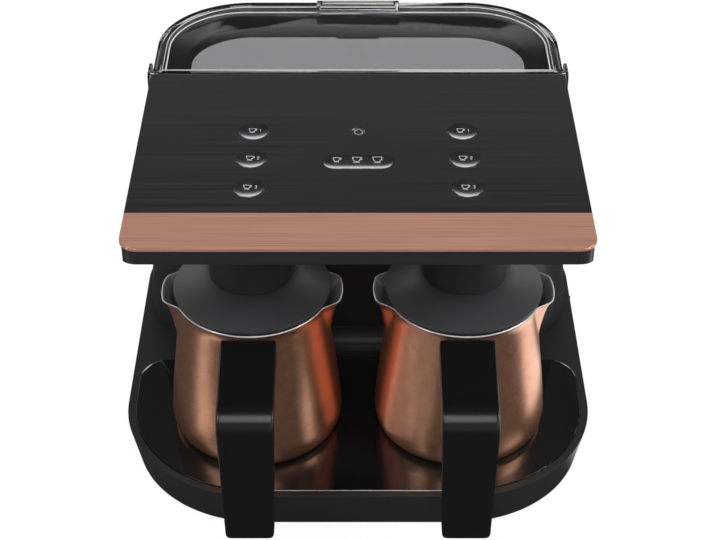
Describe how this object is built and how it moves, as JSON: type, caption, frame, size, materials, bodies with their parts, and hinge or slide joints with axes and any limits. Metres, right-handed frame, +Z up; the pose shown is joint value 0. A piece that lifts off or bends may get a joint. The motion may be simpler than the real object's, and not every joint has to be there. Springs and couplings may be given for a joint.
{
  "type": "electric turkish coffee maker",
  "caption": "Countertop electric turkish coffee maker: copper-coated pots on a glossy cooking plate under a head with a key panel, with a clear lift-off water tank behind.",
  "frame": {"origin": "on the table, under the middle of the maker's box", "axes": "+Z up, +Y to the back with the pots and keys at the front, +X to the user's right"},
  "size_m": [0.2532, 0.266, 0.1842],
  "materials": {
    "glossy_black_shell": "glossy",
    "matte_black_deck": "satin",
    "black_glass_plate": "polished",
    "brushed_black_panel": "brushed",
    "brushed_copper": "brushed",
    "copper_coated_steel": "satin",
    "bare_steel": "satin",
    "handle_black": "glossy",
    "disc_grey": "matte",
    "neck_black": "satin",
    "smoke_tank": "polished",
    "clear_lid": "polished",
    "collar_black": "glossy",
    "black_rubber": "matte",
    "seal_rubber": "matte",
    "zinc_screw": "plated",
    "inner_black_plastic": "moulded",
    "inner_pale_plastic": "moulded",
    "copper_wire": "varnished",
    "ferrite": "sintered",
    "spring_steel": "drawn",
    "circuit_board": "lacquered",
    "aluminium_fin": "extruded",
    "clear_window": "polished",
    "silicone_hose": "moulded"
  },
  "bodies": {
    "root": {"base_shell": "glossy_black_shell", "bottom_cover": "inner_black_plastic", "feet": "black_rubber", "base_screws": "zinc_screw", "cooking_plate": "black_glass_plate", "plate_seal": "black_rubber", "coils": "copper_wire", "coil_carriers": "inner_pale_plastic", "ferrite_bars": "ferrite", "plate_sensors": "spring_steel", "column_shell": "glossy_black_shell", "column_back": "matte_black_deck", "column_screws": "zinc_screw", "head_tray": "glossy_black_shell", "top_plate": "brushed_black_panel", "copper_strip": "brushed_copper", "key_guide": "inner_black_plastic", "key_board": "circuit_board", "key_switches": "spring_steel", "board_screws": "zinc_screw", "lamp_window": "clear_window", "neck_left": "neck_black", "neck_right": "neck_black", "cover_disc_left": "disc_grey", "cover_disc_right": "disc_grey", "nozzles": "inner_black_plastic", "spill_sensors": "seal_rubber", "tank_socket": "inner_black_plastic", "socket_seal": "seal_rubber", "pumps": "inner_pale_plastic", "water_hoses": "silicone_hose", "power_board": "circuit_board", "heatsink": "aluminium_fin", "fan_frame": "inner_black_plastic", "switch_bezel": "matte_black_deck", "cord_gland": "black_rubber"},
    "pot_left": {"pot_left": "copper_coated_steel", "bracket_left": "bare_steel", "handle_left": "handle_black", "handle_screw_left": "zinc_screw"},
    "pot_right": {"pot_right": "copper_coated_steel", "bracket_right": "bare_steel", "handle_right": "handle_black", "handle_screw_right": "zinc_screw"},
    "tank": {"tank": "smoke_tank", "tank_collar": "collar_black", "valve_body": "inner_black_plastic", "valve_spring": "spring_steel"},
    "lid": {"lid": "clear_lid", "lid_pins": "zinc_screw"},
    "valve_poppet": {"valve_poppet": "inner_pale_plastic"},
    "power_rocker": {"power_rocker": "glossy_black_shell"},
    "fan_rotor": {"fan_rotor": "inner_black_plastic"},
    "key_left_1": {"key_left_1": "brushed_black_panel"},
    "key_left_2": {"key_left_2": "brushed_black_panel"},
    "key_left_3": {"key_left_3": "brushed_black_panel"},
    "key_right_1": {"key_right_1": "brushed_black_panel"},
    "key_right_2": {"key_right_2": "brushed_black_panel"},
    "key_right_3": {"key_right_3": "brushed_black_panel"},
    "key_size": {"key_size": "brushed_black_panel"}
  },
  "joints": [
    {"name": "pot_left_slide", "type": "slide", "parent": "root", "child": "pot_left", "axis": [0, -1, 0], "range_m": [0, 0.2]},
    {"name": "pot_right_slide", "type": "slide", "parent": "root", "child": "pot_right", "axis": [0, -1, 0], "range_m": [0, 0.2]},
    {"name": "tank_lift", "type": "slide", "parent": "root", "child": "tank", "axis": [0, 0, 1], "range_m": [0, 0.145]},
    {"name": "lid_hinge", "type": "hinge", "parent": "tank", "child": "lid", "pos_m": [0, 0.054, 0.1806], "axis": [1, 0, 0], "range_deg": [0, 100]},
    {"name": "valve_slide", "type": "slide", "parent": "tank", "child": "valve_poppet", "axis": [0, 0, 1], "range_m": [0, 0.0012], "stiffness_N_per_m": 250, "springref_m": -0.002, "deforming": ["valve_spring"]},
    {"name": "fan_spin", "type": "hinge", "parent": "root", "child": "fan_rotor", "pos_m": [0.06, 0.088, 0.008], "axis": [0, 0, 1], "continuous": true},
    {"name": "power_switch", "type": "hinge", "parent": "root", "child": "power_rocker", "pos_m": [0.12095, 0.0635, 0.01449], "axis": [0.1961, 0, 0.9806], "range_deg": [0, 12]},
    {"name": "key_left_1_press", "type": "slide", "parent": "root", "child": "key_left_1", "axis": [0, 0, -1], "range_m": [0, 0.0008], "stiffness_N_per_m": 500, "springref_m": -0.0006},
    {"name": "key_left_2_press", "type": "slide", "parent": "root", "child": "key_left_2", "axis": [0, 0, -1], "range_m": [0, 0.0008], "stiffness_N_per_m": 500, "springref_m": -0.0006},
    {"name": "key_left_3_press", "type": "slide", "parent": "root", "child": "key_left_3", "axis": [0, 0, -1], "range_m": [0, 0.0008], "stiffness_N_per_m": 500, "springref_m": -0.0006},
    {"name": "key_right_1_press", "type": "slide", "parent": "root", "child": "key_right_1", "axis": [0, 0, -1], "range_m": [0, 0.0008], "stiffness_N_per_m": 500, "springref_m": -0.0006},
    {"name": "key_right_2_press", "type": "slide", "parent": "root", "child": "key_right_2", "axis": [0, 0, -1], "range_m": [0, 0.0008], "stiffness_N_per_m": 500, "springref_m": -0.0006},
    {"name": "key_right_3_press", "type": "slide", "parent": "root", "child": "key_right_3", "axis": [0, 0, -1], "range_m": [0, 0.0008], "stiffness_N_per_m": 500, "springref_m": -0.0006},
    {"name": "key_size_press", "type": "slide", "parent": "root", "child": "key_size", "axis": [0, 0, -1], "range_m": [0, 0.0008], "stiffness_N_per_m": 500, "springref_m": -0.0006}
  ]
}
